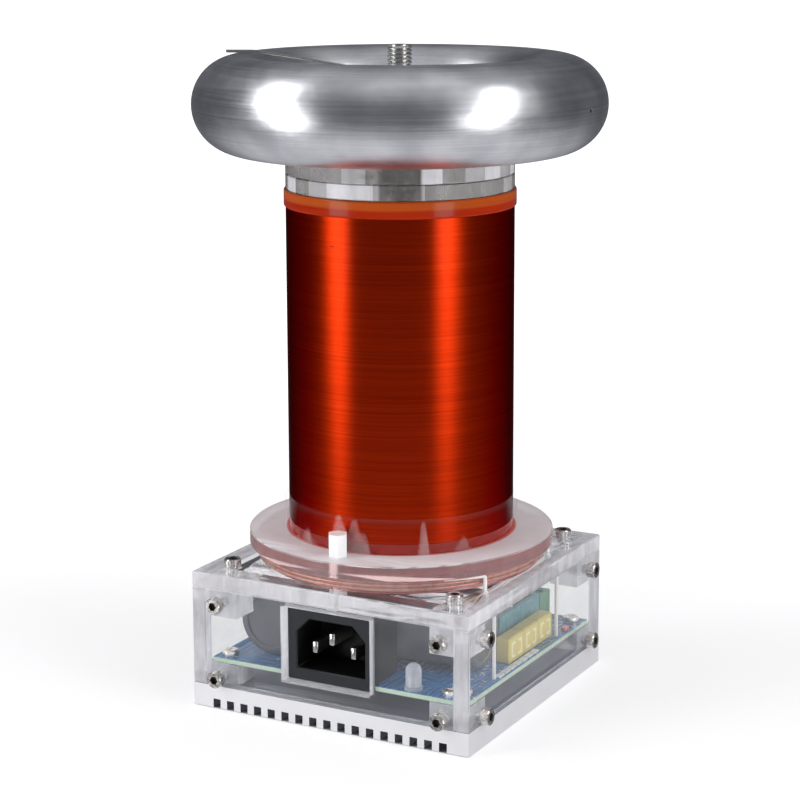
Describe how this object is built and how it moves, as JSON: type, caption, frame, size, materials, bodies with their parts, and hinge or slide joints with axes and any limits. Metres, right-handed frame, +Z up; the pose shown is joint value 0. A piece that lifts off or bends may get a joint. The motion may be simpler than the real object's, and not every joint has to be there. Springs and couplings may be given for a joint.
{
  "type": "desktop resonant transformer",
  "caption": "Tabletop resonant transformer: a spun aluminium ring terminal on a red-wound coil, over a clear box with its driver board and mains inlet",
  "frame": {"origin": "middle of the base plate's underside, on the coil's axis", "axes": "+Z up the coil's axis, -Y out of the face with the mains inlet, +X to the right of someone who faces the inlet"},
  "size_m": [0.133, 0.133, 0.2125],
  "materials": {
    "base_aluminium": "satin, fine sawn grain on the front face",
    "clear_sheet": "clear cast acrylic, polished faces and edges",
    "clear_flange": "clear cast acrylic, faint pink tint",
    "corner_block": "clear acrylic, sawn faces",
    "screw_steel": "nickel plated, slightly uneven",
    "board_blue": "blue solder mask with a pale bare edge",
    "inlet_black": "moulded, fine satin grain",
    "blade_nickel": "bright nickel plate",
    "capacitor_sleeve": "dark shrunk sleeve over a can",
    "film_yellow": "moulded case",
    "driver_teal": "teal solder mask",
    "chip_black": "moulded epoxy",
    "lamp_clear": "clear epoxy lamp",
    "resistor_ceramic": "pale ceramic with tinned ends",
    "status_red": "tinted lens",
    "ferrite": "coated ferrite",
    "wire_enamel": "enamelled copper",
    "clip_brass": "tinned brass",
    "fuse_glass": "glass tube with nickel end caps",
    "terminal_green": "moulded",
    "pad_grey": "silicone pad",
    "nylon_white": "moulded nylon",
    "former_clear": "clear acrylic tube",
    "winding_red": "red enamelled copper wire under a coat of varnish",
    "collar_clear": "clear, soft edged",
    "band_amber": "amber film tape under varnish",
    "insulated_primary": "bare copper strand in a clear sleeve",
    "stud_steel": "zinc plated",
    "ring_aluminium": "spun, finely brushed round the ring",
    "wire_steel": "drawn spring wire"
  },
  "bodies": {
    "stand": {"base_plate": "base_aluminium", "left_panel": "clear_sheet", "right_panel": "clear_sheet", "front_panel": "clear_sheet", "rear_panel": "clear_sheet", "top_plate": "clear_sheet", "upper_corner_blocks": "corner_block", "lower_corner_blocks": "corner_block", "side_panel_screws": "screw_steel", "end_panel_screws": "screw_steel", "top_plate_screws": "screw_steel", "base_plate_screws": "screw_steel", "circuit_board": "board_blue", "circuit_board_screws": "screw_steel", "mains_inlet_housing": "inlet_black", "mains_inlet_blades": "blade_nickel", "left_reservoir_capacitor": "capacitor_sleeve", "rear_reservoir_capacitor": "capacitor_sleeve", "film_capacitors": "film_yellow", "driver_board": "driver_teal", "driver_chips": "chip_black", "indicator_lamp": "lamp_clear", "chip_resistors": "resistor_ceramic", "status_lamp": "status_red", "bridge_rectifier": "chip_black", "gate_transformer_core": "ferrite", "gate_transformer_winding": "wire_enamel", "fuse_clips": "clip_brass", "fuse": "fuse_glass", "primary_terminal": "terminal_green", "power_transistors": "chip_black", "transistor_pads": "pad_grey", "transistor_screws": "screw_steel", "primary_hub": "clear_flange", "primary_winding": "insulated_primary", "primary_leads": "insulated_primary", "flange_disc": "clear_flange", "nylon_posts": "nylon_white", "nylon_studs": "nylon_white", "nylon_nuts": "nylon_white", "coil_former": "former_clear", "secondary_winding": "winding_red", "winding_foot": "winding_red", "end_band": "band_amber", "base_collar": "collar_clear", "ground_lead": "wire_enamel", "high_voltage_lead": "wire_enamel", "cap_disc": "clear_sheet", "cap_ring": "clear_sheet", "terminal_stud": "stud_steel", "stud_nuts": "stud_steel", "stud_washers": "stud_steel"},
    "ring": {"ring_shell": "ring_aluminium", "ring_web": "ring_aluminium"},
    "wire": {"discharge_wire": "wire_steel"}
  },
  "joints": [
    {"name": "ring_turn", "type": "hinge", "parent": "stand", "child": "ring", "pos_m": [0, 0, 0.194], "axis": [0, 0, 1], "continuous": true},
    {"name": "wire_swing", "type": "hinge", "parent": "stand", "child": "wire", "pos_m": [0, 0, 0.2037], "axis": [0, 0, 1], "continuous": true}
  ]
}
